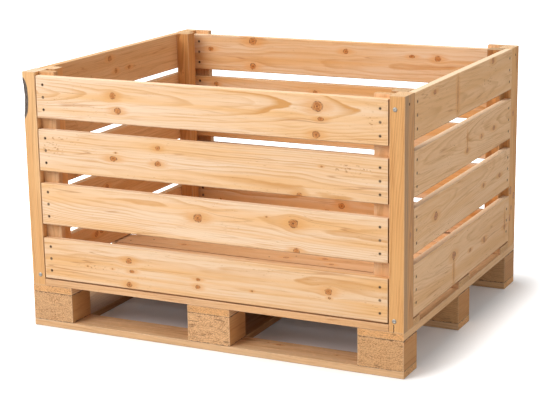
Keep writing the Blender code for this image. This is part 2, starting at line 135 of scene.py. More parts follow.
# Knots by board, as (along the grain, across it, radius, kind), in metres from the board's middle
KNOTS = {
    "slat_front_4": [
        (-0.292, 0.019, 0.0080, "ring"), (-0.277, -0.024, 0.0085, "ring"),
        (0.349, 0.031, 0.0125, "eye"), (0.359, -0.003, 0.0050, "dash"),
        (0.345, -0.047, 0.0085, "ring"),
    ],
    "slat_front_3": [
        (-0.298, -0.006, 0.0070, "dash"), (-0.149, 0.037, 0.0060, "ring"),
        (-0.150, -0.009, 0.0075, "ring"), (-0.289, 0.012, 0.0022, "dot"),
        (0.360, 0.026, 0.0025, "dot"), (0.293, -0.060, 0.0070, "ring"),
    ],
    "slat_front_2": [
        (-0.025, 0.0075, 0.0110, "ring"), (0.274, 0.021, 0.0110, "eye"),
        (0.283, -0.0565, 0.0075, "ring"), (0.192, 0.032, 0.0022, "dot"),
    ],
    "slat_front_1": [
        (-0.260, 0.022, 0.0080, "ring"), (-0.249, -0.009, 0.0045, "dash"),
        (-0.260, -0.050, 0.0070, "ring"), (-0.402, -0.009, 0.0022, "dot"),
        (-0.316, -0.008, 0.0022, "dot"), (-0.031, -0.0295, 0.0060, "ring"),
        (-0.030, -0.007, 0.0040, "dash"), (0.142, -0.021, 0.0025, "dot"),
        (0.378, 0.006, 0.0085, "ring"), (0.381, -0.012, 0.0030, "dot"),
    ],
    "slat_right_4": [
        (-0.273, 0.041, 0.0060, "dash"), (0.237, 0.054, 0.0090, "ring"),
        (-0.082, 0.002, 0.0450, "spike"),
    ],
    "slat_right_3": [
        (0.009, -0.020, 0.0070, "ring"), (0.257, 0.002, 0.0060, "dash"),
        (0.139, -0.002, 0.0060, "ring"), (0.009, 0.010, 0.0220, "spike"),
    ],
    "slat_right_2": [
        (-0.256, 0.003, 0.0100, "eye"), (0.326, -0.003, 0.0060, "dash"),
        (0.166, -0.001, 0.0060, "ring"),
    ],
    "slat_right_1": [
        (-0.098, 0.016, 0.0110, "eye"), (0.388, -0.016, 0.0060, "dash"),
        (0.183, -0.007, 0.0080, "ring"), (0.049, -0.006, 0.0050, "dash"),
        (-0.098, -0.026, 0.0320, "spike"), (0.388, 0.000, 0.0300, "spike"),
    ],
    "slat_rear_5": [
        (-0.321, 0.046, 0.0110, "ring"), (-0.484, 0.012, 0.0060, "dash"),
        (-0.323, -0.040, 0.0090, "eye"), (0.022, 0.028, 0.0075, "ring"),
        (0.345, 0.020, 0.0080, "ring"), (0.256, 0.023, 0.0050, "dash"),
    ],
    "slat_left_5": [
        (-0.015, -0.009, 0.0070, "ring"), (0.067, -0.008, 0.0050, "dash"),
        (-0.049, 0.035, 0.0080, "ring"),
    ],
    "block_front_left": [(0.0, 0.030, 0.0120, "eye")],
    "block_front_middle": [(-0.020, -0.010, 0.0040, "dash")],
    "post_front_left": [(-0.120, 0.012, 0.0090, "eye"), (0.235, 0.005, 0.0110, "eye")],
    "post_front_right": [(-0.060, 0.010, 0.0050, "dash")],
}

# What each kind of knot shows: core, dark rings, push on the grain, stretch along it
KNOT_KINDS = {
    "eye": (0.95, 0.85, 0.85, 1.15),
    "ring": (0.90, 0.75, 0.80, 1.15),
    "dash": (1.00, 0.75, 0.70, 1.60),
    "dot": (0.60, 1.00, 0.60, 1.20),
    "spike": (0.50, 0.55, 0.12, 0.11),
}
KNOT_GROWTH = 1.1             # on the radii above

# Knots of the boards that the photograph doesn't show
RANDOM_KINDS = ("ring", "eye", "dash", "dot", "ring")
RANDOM_RADII = {"ring": 0.0075, "eye": 0.0095, "dash": 0.0050, "dot": 0.0024}
LONG_BOARD_HALF = 0.3

# Patches of small brown specks by board, as (along the grain, across it, half length, half width)
SPECKS = {
    "slat_front_3": [
        (-0.470, 0.040, 0.085, 0.006), (-0.500, 0.010, 0.050, 0.030), (0.450, 0.026, 0.075, 0.016),
    ],
    "slat_front_4": [(0.505, 0.000, 0.016, 0.020)],
    "slat_front_1": [(-0.380, -0.010, 0.070, 0.008)],
    "slat_right_4": [(0.180, 0.000, 0.060, 0.020)],
}

# Looks by kind of board: pale, warm, late-wood and end colour, then strengths
LOOKS = {
    "slat": dict(
        pale=(0.86, 0.630, 0.430), warm=(0.82, 0.465, 0.190),
        late=(0.64, 0.305, 0.092), end=(0.42, 0.230, 0.110),
        rings=0.56, bands=0.90, flecks=0.60, sawn=0.25, speckle=0.30, dirt=0.0, seam_shade=0.0,
    ),
    "side": dict(
        pale=(0.86, 0.550, 0.305), warm=(0.77, 0.435, 0.190),
        late=(0.56, 0.275, 0.094), end=(0.42, 0.230, 0.110),
        rings=0.44, bands=0.80, flecks=0.90, sawn=0.30, speckle=0.30, dirt=0.05, seam_shade=0.0,
    ),
    "post": dict(
        pale=(0.80, 0.440, 0.175), warm=(0.70, 0.325, 0.100),
        late=(0.44, 0.175, 0.046), end=(0.82, 0.560, 0.330),
        rings=0.62, bands=0.75, flecks=0.50, sawn=0.20, speckle=0.30, dirt=0.0, seam_shade=0.0,
    ),
    "deck": dict(
        pale=(0.78, 0.480, 0.260), warm=(0.70, 0.375, 0.160),
        late=(0.50, 0.235, 0.080), end=(0.70, 0.420, 0.200),
        rings=0.42, bands=0.60, flecks=0.70, sawn=0.60, speckle=0.60, dirt=0.10, seam_shade=0.0,
    ),
    "block": dict(
        pale=(0.63, 0.325, 0.125), warm=(0.55, 0.250, 0.080),
        late=(0.38, 0.155, 0.045), end=(0.83, 0.500, 0.255),
        rings=0.40, bands=0.60, flecks=0.50, sawn=0.90, speckle=0.80, dirt=0.08, seam_shade=0.85,
    ),
    "runner": dict(
        pale=(0.78, 0.510, 0.290), warm=(0.70, 0.400, 0.180),
        late=(0.48, 0.215, 0.070), end=(0.82, 0.450, 0.195),
        rings=0.48, bands=0.60, flecks=0.60, sawn=0.80, speckle=0.70, dirt=0.12, seam_shade=0.15,
    ),
}

# Which look a board has, by the start of its name
LOOK_OF = {
    "slat_left": "side", "slat_right": "side", "slat": "slat", "post": "post", "stud": "post",
    "batten": "deck", "deck": "deck", "floor": "deck", "block": "block", "": "runner",
}

# Boards lighter, darker or warmer than their kind, as (lightness, warmth), by the same rule. The
# studs and the left panel's slats are darker partly as painted shade inside the box.
TINTS = {
    "post_front_left": (1.04, -0.22),
    "post_front_right": (0.98, 0.08),
    "block_front_left": (0.92, -0.02),
    "block_front_middle": (1.00, 0.06),
    "block_front_right": (0.90, 0.08),
    "block": (0.88, 0.12),
    "slat_front_4": (0.99, 0.00),
    "slat_front_3": (0.985, 0.00),
    "slat_front_2": (0.975, 0.00),
    "slat_front_1": (0.95, 0.00),
    "slat_left": (0.89, 0.14),
    "slat_rear": (0.91, 0.06),
    "stud_rear_left": (0.80, 0.20),
    "post_rear_left": (0.88, 0.12),
    "base_board": (0.66, 0.22),
    "batten_front_left": (0.92, 0.04),
    "batten_front_right": (1.10, -0.08),
    "stud_rear_right": (0.62, 0.12),
    "stud_front_right": (0.80, 0.10),
    "stringer_right": (1.04, 0.10),
    "": (1.00, 0.00),
}
HIDDEN_BLOCK_SPECKLE = 0.35   # share of it on the blocks behind the front row

# Ranges that each board draws from: its colour, and how it lay in its log
FIRST_SEED = 4000
VALUES = (0.96, 1.03)
WARMTHS = (-0.04, 0.06)
SLAT_PITH_DEPTHS = (0.026, 0.065)
PITH_DEPTHS = (0.018, 0.055)
PITH_ASIDE = (-0.8, 0.8)      # in half widths of the board
LEANS_ACROSS = (-0.035, 0.035)
LEANS_THROUGH = (-0.05, 0.05)
RING_SPACINGS = (0.0042, 0.0062)

# Year rings: how far they stray, and how dark they are from one year's start to the next's
RING_WANDER = 0.034
RING_RIPPLE = 0.0032
RING_PROFILE = [(0.0, 0.05), (0.45, 0.18), (0.84, 1.0), (0.93, 0.8), (1.0, 0.05)]


class Graph:
    """Short calls for making and linking shader nodes."""

    def __init__(self, tree):
        self.tree = tree

    def node(self, kind, **settings):
        made = self.tree.nodes.new("ShaderNode" + kind)
        for name, value in settings.items():
            setattr(made, name, value)
        return made

    def put(self, socket, value):
        """Link a socket or set it. None leaves it as it is."""
        if isinstance(value, bpy.types.NodeSocket):
            self.tree.links.new(value, socket)
        elif value is not None:
            socket.default_value = value

    def put_all(self, made, values):
        """Fill a node's sockets, by name or in order, and return the node."""
        for key, value in values.items() if isinstance(values, dict) else enumerate(values):
            self.put(made.inputs[key], value)
        return made

    def math(self, operation, *values, clamp=False):
        made = self.node("Math", operation=operation, use_clamp=clamp)
        return self.put_all(made, values).outputs[0]

    def chain(self, operation, values, clamp):
        """Join values from the left with one operation. Only the last step is clamped."""
        result = values[0]
        for index, value in enumerate(values[1:], 2):
            result = self.math(operation, result, value, clamp=clamp and index == len(values))
        return result

    def add(self, *values, clamp=False):
        return self.chain("ADD", values, clamp)

    def multiply(self, *values, clamp=False):
        return self.chain("MULTIPLY", values, clamp)

    def least(self, *values):
        return self.chain("MINIMUM", values, False)

    def most(self, *values):
        return self.chain("MAXIMUM", values, False)

    def subtract(self, first, second):
        return self.math("SUBTRACT", first, second)

    def divide(self, first, second):
        return self.math("DIVIDE", first, second)

    def absolute(self, value):
        return self.math("ABSOLUTE", value)

    def vector(self, operation, first, second):
        made = self.node("VectorMath", operation=operation)
        return self.put_all(made, (first, second)).outputs["Vector"]

    def length(self, x, y):
        """The length of a flat vector."""
        made = self.node("VectorMath", operation="LENGTH")
        return self.put_all(made, (self.join(x, y, 0.0),)).outputs["Value"]

    def split(self, value):
        return tuple(self.put_all(self.node("SeparateXYZ"), (value,)).outputs)

    def join(self, x, y, z):
        return self.put_all(self.node("CombineXYZ"), (x, y, z)).outputs[0]

    def noise(self, point, stretch, detail=2.0, roughness=0.5):
        """Noise from 0 to 1, with features one unit wide after the stretch."""
        made = self.put_all(self.node("TexNoise"), {
            "Vector": self.vector("MULTIPLY", point, stretch), "Scale": 1.0, "Detail": detail,
            "Roughness": roughness,
        })
        return made.outputs[0]

    def sway(self, point, stretch, detail=2.0, roughness=0.5):
        """The same noise about 0."""
        return self.subtract(self.noise(point, stretch, detail, roughness), 0.5)

    def ramp(self, value, low, high, to_low=0.0, to_high=1.0):
        """Lead a value smoothly from to_low at low to to_high at high, and hold it beyond them."""
        made = self.put_all(self.node("MapRange", interpolation_type="SMOOTHSTEP"), {
            "Value": value, "From Min": low, "From Max": high, "To Min": to_low,
            "To Max": to_high,
        })
        return made.outputs[0]

    def curve(self, value, stops):
        """A broken line through (place, height) stops."""
        made = self.put_all(self.node("ValToRGB"), (value,))
        elements = made.color_ramp.elements
        while len(elements) < len(stops):
            elements.new(0.5)
        for element, (place, height) in zip(elements, stops):
            element.position = place
            element.color = (height, height, height, 1.0)
        return made.outputs[0]

    def mix(self, factor, first, second, blend="MIX"):
        made = self.node("Mix", data_type="RGBA", blend_type=blend)
        return self.put_all(made, {0: factor, 6: first, 7: second}).outputs[2]

    def bump(self, shader, height, strength, distance):
        made = self.put_all(self.node("Bump"), {
            "Strength": strength, "Distance": distance, "Height": height,
        })
        self.put(shader.inputs["Normal"], made.outputs["Normal"])


def new_group(name, inputs, outputs):
    """Make a node group from its sockets' names by kind, and return its graph and its ends."""
    tree = bpy.data.node_groups.new(name, "ShaderNodeTree")
    for direction, kinds in (("INPUT", inputs), ("OUTPUT", outputs)):
        for kind, sockets in kinds.items():
            for socket in sockets:
                tree.interface.new_socket(
                    socket, in_out=direction, socket_type="NodeSocket" + kind
                )
    given = tree.nodes.new("NodeGroupInput").outputs
    made = tree.nodes.new("NodeGroupOutput").inputs
    return Graph(tree), given, made


def new_material(name):
    """Make a material, and return it, its graph and its shader."""
    material = bpy.data.materials.new(name)
    material.use_nodes = True
    tree = material.node_tree
    return material, Graph(tree), tree.nodes["Principled BSDF"]


def knot_group():
    """One knot: it bends the grain round itself and adds its core, dark rings and halo."""
    graph, given, made = new_group(
        "knot",
        {
            "Vector": ("Grain", "Place"),
            "Float": (
                "Along", "Across", "Radius", "Stretch", "Push", "Core", "Ring",
                "Core So Far", "Ring So Far", "Halo So Far",
            ),
        },
        {"Vector": ("Grain",), "Float": ("Core", "Ring", "Halo")},
    )
    place = given["Place"]
    along, across, _ = graph.split(place)
    du = graph.divide(graph.subtract(along, given["Along"]), given["Stretch"])
    dv = graph.subtract(across, given["Across"])

    def away(u, v):
        """A distance from the knot's middle, in its radii."""
        return graph.divide(graph.length(u, v), given["Radius"])

    wobble = graph.multiply(graph.sway(place, (95.0, 95.0, 20.0)), 0.65)
    far = graph.add(away(du, dv), wobble)
    flame_far = away(graph.divide(du, 2.6), graph.divide(dv, 1.25))
    bend_far = away(graph.divide(du, 2.6), graph.divide(dv, 1.7))

    def ring_at(radii, outer, inner):
        """A ring at a distance in radii, which fades from the inner half width to the outer."""
        return graph.ramp(graph.absolute(graph.subtract(far, radii)), outer, inner)

    gaps = graph.noise(place, (150.0, 150.0, 30.0), 1.0)
    rim = graph.multiply(ring_at(0.92, 0.24, 0.04), graph.ramp(gaps, 0.42, 0.56, 0.20, 1.0))
    middle_ring = graph.multiply(ring_at(0.50, 0.14, 0.03), 0.45)
    heart = graph.ramp(far, 0.28, 0.12)
    flame = graph.multiply(graph.noise(place, (35.0, 260.0, 60.0)), 0.9)
    marks = {
        "Core": graph.multiply(graph.ramp(far, 1.15, 0.60), given["Core"]),
        "Ring": graph.multiply(graph.most(rim, middle_ring, heart), given["Ring"]),
        "Halo": graph.ramp(graph.add(flame_far, flame), 2.25, 0.8),
    }
    for socket, mark in marks.items():
        graph.put(made[socket], graph.most(mark, given[socket + " So Far"]))

    shift = graph.multiply(dv, given["Push"], graph.ramp(bend_far, 2.1, 0.0))
    bent = graph.vector("SUBTRACT", given["Grain"], graph.join(0.0, shift, 0.0))
    graph.put(made["Grain"], bent)
    return graph.tree


def year_rings(graph, given, grain):
    """How strong the late wood is at a point, and how near it lies to the pith's line."""
    along, across, through = graph.split(given["Grain"])
    pith_v = graph.math("MULTIPLY_ADD", along, given["Lean Across"], given["Pith Across"])
    pith_w = graph.math("MULTIPLY_ADD", along, given["Lean Through"], given["Pith Through"])
    aside = graph.subtract(across, pith_v)
    far = graph.add(
        graph.length(aside, graph.subtract(through, pith_w)),
        graph.multiply(graph.sway(grain, (1.6, 7.0, 7.0)), RING_WANDER),
        graph.multiply(graph.sway(grain, (11.0, 60.0, 60.0)), RING_RIPPLE),
    )
    count = graph.divide(far, given["Spacing"])
    late = graph.curve(graph.math("FRACT", count), RING_PROFILE)
    years = graph.put_all(graph.node("TexNoise", noise_dimensions="1D"), {
        "W": graph.add(graph.math("FLOOR", count), given["Seed"]), "Scale": 1.0, "Detail": 1.0,
    })
    late = graph.multiply(late, graph.ramp(years.outputs[0], 0.25, 0.75, 0.35, 1.25))
    return late, graph.ramp(graph.absolute(aside), 0.045, 0.0)


def sawn_face(graph, given, grain, late, near_pith, streak, fibre):
    """The colour along the grain: bands, year rings, streaks, hair lines and fibre."""
    band = graph.noise(grain, (1.1, 24.0, 24.0), 3.0, 0.55)
    warm = graph.add(
        graph.multiply(graph.ramp(band, 0.36, 0.66), given["Band Strength"]),
        graph.multiply(graph.sway(grain, (3.2, 9.0, 9.0)), 0.6),
        graph.multiply(near_pith, 0.22),
        clamp=True,
    )
    contrast = graph.noise(grain, (2.2, 14.0, 14.0), 1.0)
    rings = graph.multiply(
        late, given["Ring Strength"], graph.ramp(contrast, 0.32, 0.66, 0.35, 1.35),
        graph.math("MULTIPLY_ADD", near_pith, 0.5, 0.8),
        clamp=True,
    )
    hair = graph.absolute(graph.sway(grain, (1.7, 48.0, 48.0), 1.0))
    hair_patches = graph.noise(grain, (4.0, 20.0, 20.0), 1.0)
    hair = graph.multiply(
        graph.ramp(hair, 0.016, 0.003), graph.ramp(hair_patches, 0.50, 0.62), 0.55
    )
    lines = graph.multiply(graph.ramp(streak, 0.54, 0.70), 0.44)
    fine = graph.add(graph.multiply(graph.subtract(fibre, 0.5), 0.16), 1.0)

    colour = graph.mix(warm, given["Pale"], given["Warm"])
    colour = graph.mix(rings, colour, given["Late"])
    colour = graph.mix(lines, colour, given["Late"])
    colour = graph.mix(hair, colour, HAIR_BROWN)
    return graph.mix(1.0, colour, graph.join(fine, fine, fine), "MULTIPLY")


def flecks_and_specks(graph, given, place):
    """Short dark flecks all over a board, and the dots in its patches of specks."""
    fleck = graph.noise(place, (75.0, 520.0, 520.0), 1.0)
    sparse = graph.noise(place, (9.0, 14.0, 14.0), 1.0)
    dots = graph.noise(place, (110.0, 190.0, 190.0), 1.0)
    fleck = graph.multiply(
        graph.ramp(fleck, 0.68, 0.76), graph.ramp(sparse, 0.45, 0.62), given["Fleck Strength"],
        clamp=True,
    )
    return graph.most(
        fleck, graph.multiply(graph.ramp(dots, 0.58, 0.68, 0.0, 0.62), given["Specks"])
    )


def knot_colours(graph, given, place, colour):
    """Lay the halos, the cores and the dark rings of the knots over the wood."""
    mottle = graph.ramp(graph.noise(place, (160.0, 160.0, 160.0)), 0.3, 0.7)
    colour = graph.mix(graph.multiply(given["Halo"], 0.66), colour, HALO_ORANGE)
    colour = graph.mix(given["Core"], colour, graph.mix(mottle, CORE_DARK, CORE_LIGHT))
    return graph.mix(graph.multiply(given["Ring"], 0.96), colour, KNOT_RING)


def end_grain(graph, given, place, late):
    """The colour of a board's ends, with their pits and drying cracks."""
    speck = graph.noise(place, (260.0, 230.0, 420.0), 3.0, 0.75)
    blotch = graph.noise(place, (30.0, 26.0, 70.0))
    split = graph.noise(place, (20.0, 22.0, 150.0), 2.0, 0.6)
    pits = graph.multiply(
        graph.ramp(speck, 0.46, 0.60), graph.ramp(blotch, 0.35, 0.62, 0.55, 1.0)
    )
    checks = graph.multiply(graph.ramp(split, 0.63, 0.69), given["End"], given["Speckle"])
    colour = graph.mix(graph.multiply(late, 0.40), given["End Colour"], given["Late"])
    colour = graph.mix(graph.multiply(pits, given["Speckle"]), colour, PIT_BROWN)
    colour = graph.mix(graph.multiply(checks, 0.75), colour, CHECK_DARK)
    return colour, pits, checks


def edge_wear_and_seam_shade(graph, given, place):
    """How worn a board's edges are, and the painted shade in the seams over and under it."""
    to_face = [
        graph.subtract(half, graph.absolute(part))
        for half, part in zip(graph.split(given["Half"]), graph.split(given["Place"]))
    ]
    least, most = graph.least(*to_face), graph.most(*to_face)
    to_edge = graph.subtract(graph.subtract(graph.add(*to_face), least), most)
    ragged = graph.multiply(graph.sway(place, (35.0, 120.0, 120.0)), 0.006)
    worn = graph.ramp(graph.add(to_edge, ragged), 0.0038, 0.0004)
    # Painted shade in ragged bands along the faces that meet the boards over and under it
    ragged = graph.multiply(graph.sway(place, (70.0, 110.0, 20.0), 3.0, 0.7), 0.013)
    seam_shade = graph.ramp(graph.add(to_face[2], ragged), 0.0022, 0.0004)
    return worn, graph.multiply(seam_shade, given["Seam"])


def wood_group():
    """Sawn pine from a place on the board, with rings, knots, end grain and worn edges."""
    graph, given, made = new_group(
        "sawn pine",
        {
            "Vector": ("Grain", "Place", "Half"),
            "Float": (
                "End", "Seed", "Pith Across", "Pith Through", "Lean Across", "Lean Through",
                "Spacing", "Ring Strength", "Band Strength", "Fleck Strength", "Rough Sawn",
                "Speckle", "Dirt", "Seam", "Specks", "Core", "Ring", "Halo",
            ),
            "Color": ("Pale", "Warm", "Late", "End Colour"),
        },
        {"Color": ("Colour",), "Float": ("Roughness", "Height")},
    )
    offset = graph.join(*(graph.multiply(given["Seed"], share) for share in (1.713, 0.417, 0.893)))
    grain = graph.vector("ADD", given["Grain"], offset)
    place = graph.vector("ADD", given["Place"], offset)
    streak = graph.noise(grain, (6.0, 150.0, 150.0), 2.0, 0.6)
    fibre = graph.noise(grain, (30.0, 1100.0, 1100.0))
    late, near_pith = year_rings(graph, given, grain)
    fleck = flecks_and_specks(graph, given, place)
    end_colour, pits, checks = end_grain(graph, given, place, late)
    worn, seam_shade = edge_wear_and_seam_shade(graph, given, place)
    grime = graph.ramp(graph.noise(place, (5.0, 22.0, 22.0), 3.0, 0.6), 0.42, 0.75)

    colour = sawn_face(graph, given, grain, late, near_pith, streak, fibre)
    colour = graph.mix(fleck, colour, FLECK_BROWN)
    colour = knot_colours(graph, given, place, colour)
    colour = graph.mix(given["End"], colour, end_colour)
    colour = graph.mix(graph.multiply(worn, 0.20), colour, WORN_PALE)
    # Painted shade in the seams over and under the board
    colour = graph.mix(seam_shade, colour, SEAM_SHADE_DARK)
    colour = graph.mix(graph.multiply(grime, given["Dirt"]), colour, DIRT_GREY)
    graph.put(made["Colour"], colour)

    rough = graph.add(
        graph.multiply(graph.subtract(streak, 0.5), 0.22), 0.60,
        graph.multiply(given["End"], 0.22), graph.multiply(given["Core"], -0.20),
        graph.multiply(worn, 0.12),
    )
    graph.put(made["Roughness"], graph.least(graph.most(rough, 0.30), 0.95))

    saw = graph.put_all(
        graph.node("TexWave", wave_type="BANDS", bands_direction="X", wave_profile="SIN"),
        {"Vector": place, "Scale": 42.0, "Distortion": 1.6, "Detail": 2.0},
    )
    height = graph.add(
        graph.multiply(late, 0.16), graph.multiply(fibre, 0.22), graph.multiply(streak, 0.35),
        graph.multiply(saw.outputs[1], given["Rough Sawn"], 0.30),
        graph.multiply(pits, given["End"], -0.8), graph.multiply(checks, -1.6),
        graph.multiply(given["Ring"], -0.5), graph.multiply(fleck, -0.4),
    )
    graph.put(made["Height"], height)
    return graph.tree


KNOT = knot_group()
WOOD = wood_group()


def by_start(table, name):
    """The first entry of a table whose key the name starts with."""
    return next(entry for start, entry in table.items() if name.startswith(start))


def board_axes(name, size):
    """Which world axes run along the grain, across it and through the board."""
    if name.startswith("block"):
        return 1, 0, 2
    return tuple(sorted(range(3), key=lambda axis: -size[axis]))


def tint(colour, value, warmth):
    """Change a colour's lightness and warmth a little."""
    red, green, blue = colour
    return red * value, green * value * (1 - 0.35 * warmth), blue * value * (1 - warmth), 1.0


def random_knots(rng, half_along, half_across):
    """A few knots for a board whose own ones the photograph doesn't show."""
    total = rng.randint(2, 5) if half_along > LONG_BOARD_HALF else rng.randint(0, 2)
    knots = []
    for _ in range(total):
        kind = rng.choice(RANDOM_KINDS)
        radius = RANDOM_RADII[kind] * rng.uniform(0.8, 1.2)
        along = rng.uniform(-0.85, 0.85) * half_along
        across = rng.uniform(-0.70, 0.70) * half_across
        knots.append((along, across, radius, kind))
    return knots


def lay_knots(graph, place, knots):
    """Chain a board's knots: the bent grain, and the marks of all of them together."""
    marks = {"Grain": place, "Core": None, "Ring": None, "Halo": None}
    for along, across, radius, kind in knots:
        core, ring, push, stretch = KNOT_KINDS[kind]
        knot = graph.put_all(graph.node("Group", node_tree=KNOT), {
            "Grain": marks["Grain"], "Place": place, "Along": along, "Across": across,
            "Radius": KNOT_GROWTH * radius, "Stretch": stretch, "Push": push,
            "Core": core, "Ring": ring, "Core So Far": marks["Core"],
            "Ring So Far": marks["Ring"], "Halo So Far": marks["Halo"],
        })
        marks = {mark: knot.outputs[mark] for mark in marks}
    return marks


def speck_patches(graph, along, across, patches):
    """Where the patches of specks lie on a board that has any."""
    masks = []
    for u, v, half_length, half_width in patches:
        du = graph.divide(graph.subtract(along, u), half_length)
        dv = graph.divide(graph.subtract(across, v), half_width)
        masks.append(graph.ramp(graph.length(du, dv), 1.0, 0.5))
    return graph.most(*masks) if masks else None


def nail_spacing(width):
    """From the middle nail of a slat end to the outer ones."""
    return min(SLAT_NAIL_SPACING, SLAT_NAIL_SHARE * width)


def shaded_lower_edge(graph, local, above, colour):
    """Painted shade along a slat's lower edge: a dark line with a ragged outline."""
    edge_wobble = graph.multiply(graph.noise(local, (60.0, 60.0, 200.0)), -0.0025)
    edge = graph.ramp(graph.add(above, edge_wobble), 0.0018, 0.0002, 0.0, 0.60)
    return graph.mix(edge, colour, UNDER_EDGE_SHADE_BROWN)


def nail_stains(graph, along, across, width, on_side, colour):
    """Dark iron stain in the wood round the three nails of each slat end."""
    reach = SIDE_NAIL_Y if on_side else END_NAIL_X
    off = graph.absolute(across)
    du = graph.subtract(graph.absolute(along), reach)
    dv = graph.least(off, graph.absolute(graph.subtract(off, nail_spacing(width))))
    depth = 0.75 if on_side else graph.ramp(along, -0.01, 0.01, 0.75, 0.45)
    stain = graph.ramp(graph.length(du, dv), 0.0056, 0.0034, 0.0, depth)
    return graph.mix(stain, colour, IRON_STAIN)


def bark_on_wane(graph, point, colour):
    """Grey inner bark on the scooped edge of the front left post and a little round it."""
    x, y, z = graph.split(point)
    outside = graph.most(graph.add(x, HALF_X), graph.add(y, HALF_Y))
    up = graph.divide(graph.subtract(z, WANE_MIDDLE), WANE_HALF_HEIGHT)
    bulge = graph.math("SQRT", graph.most(graph.subtract(1.0, graph.multiply(up, up)), 0.0))
    ragged = graph.multiply(graph.sway(point, (90.0, 90.0, 60.0)), 0.003)
    inside = graph.subtract(graph.add(graph.multiply(bulge, WANE_DEPTH), ragged), outside)
    flakes = graph.noise(point, (260.0, 260.0, 70.0), 3.0, 0.65)
    bark = graph.mix(graph.ramp(flakes, 0.35, 0.65), BARK_DARK, BARK_PALE)
    return graph.mix(graph.ramp(inside, 0.0, 0.0010), colour, bark)


def stained_post(graph, point, facing, colour):
    """Grey stain on the front right post's outer side face, and a crack under its foot screw."""
    x, y, z = graph.split(point)
    streak = graph.noise(point, (260.0, 260.0, 7.0), 2.0, 0.6)
    near_front = graph.ramp(graph.add(y, graph.multiply(streak, 0.010)), -0.462, -0.474)
    stain = graph.add(
        graph.multiply(near_front, 0.35), graph.ramp(streak, 0.40, 0.70, 0.10, 0.55)
    )
    colour = graph.mix(
        graph.multiply(stain, graph.ramp(facing[0], 0.6, 0.9)), colour, POST_STAIN
    )
    bend = graph.noise(point, (10.0, 10.0, 160.0))
    away = graph.absolute(graph.subtract(x, graph.math("MULTIPLY_ADD", bend, 0.006, CRACK_X)))
    crack = graph.multiply(
        graph.ramp(away, 0.0019, 0.0006), graph.ramp(z, 0.1540, 0.1500),
        graph.ramp(facing[1], -0.6, -0.9),
    )
    return graph.mix(crack, colour, CRACK_DARK)


def wood_material(name, index):
    """One board's own wood, laid out from where the board is and how it lies."""
    rng = random.Random(FIRST_SEED + index)
    low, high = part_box(name)
    size = [high[axis] - low[axis] for axis in range(3)]
    middle = tuple((high[axis] + low[axis]) / 2 for axis in range(3))
    axes = board_axes(name, size)
    half = tuple(size[axis] / 2 for axis in axes)
    is_slat = name.startswith("slat")

    look = LOOKS[by_start(LOOK_OF, name)]
    lightness, warmer = by_start(TINTS, name)
    value = rng.uniform(*VALUES) * lightness
    warmth = rng.uniform(*WARMTHS) + warmer
    pale, warm, late, end_colour = (
        tint(look[part], value, warmth) for part in ("pale", "warm", "late", "end")
    )
    speckle = look["speckle"]
    if name.startswith("block") and "front" not in name:
        speckle *= HIDDEN_BLOCK_SPECKLE

    material, graph, shader = new_material("pine_" + name)
    coordinates = graph.node("TexCoord").outputs
    point = coordinates["Object"]
    facing = graph.split(coordinates["Normal"])
    local = graph.vector("SUBTRACT", point, middle)
    parts = graph.split(local)
    along, across, through = (parts[axis] for axis in axes)
    place = graph.join(along, across, through)

    marks = lay_knots(graph, place, KNOTS.get(name) or random_knots(rng, half[0], half[1]))
    side = rng.choice((-1.0, 1.0))
    depth = rng.uniform(*(SLAT_PITH_DEPTHS if is_slat else PITH_DEPTHS))
    wood = graph.put_all(graph.node("Group", node_tree=WOOD), {
        "Place": place, "Half": half,
        "End": graph.ramp(graph.absolute(facing[axes[0]]), 0.70, 0.90),
        "Seed": rng.uniform(1.0, 60.0),
        "Pith Across": rng.uniform(*PITH_ASIDE) * half[1],
        "Pith Through": side * (half[2] + depth),
        "Lean Across": rng.uniform(*LEANS_ACROSS),
        "Lean Through": rng.uniform(*LEANS_THROUGH),
        "Spacing": rng.uniform(*RING_SPACINGS),
        "Ring Strength": look["rings"] * rng.uniform(0.8, 1.2),
        "Band Strength": look["bands"] * rng.uniform(0.7, 1.2),
        "Fleck Strength": look["flecks"], "Rough Sawn": look["sawn"], "Speckle": speckle,
        "Dirt": look["dirt"], "Seam": look["seam_shade"],
        "Pale": pale, "Warm": warm, "Late": late, "End Colour": end_colour,
        "Specks": speck_patches(graph, along, across, SPECKS.get(name, ())),
        **marks,
    })

    colour = wood.outputs["Colour"]
    if is_slat:
        # painted shade along the lower edge of each slat
        colour = shaded_lower_edge(graph, local, graph.add(across, half[1]), colour)
        on_side = "left" in name or "right" in name
        colour = nail_stains(graph, along, across, size[2], on_side, colour)
    # The right panel's slats are painted lighter on their upward faces, as painted light from
    # above.
    if name.startswith("slat_right"):
        colour = graph.mix(graph.ramp(facing[2], 0.60, 0.90, 0.0, 0.75), colour, TOP_PAINTED_LIGHT)
    if name == "post_front_left":
        colour = bark_on_wane(graph, point, colour)
    if name == "post_front_right":
        colour = stained_post(graph, point, facing, colour)
    graph.put_all(shader, {
        "Base Color": colour, "Roughness": wood.outputs["Roughness"], "Specular IOR Level": 0.35,
    })
    graph.bump(shader, wood.outputs["Height"], 0.45, 0.0012)
    return material


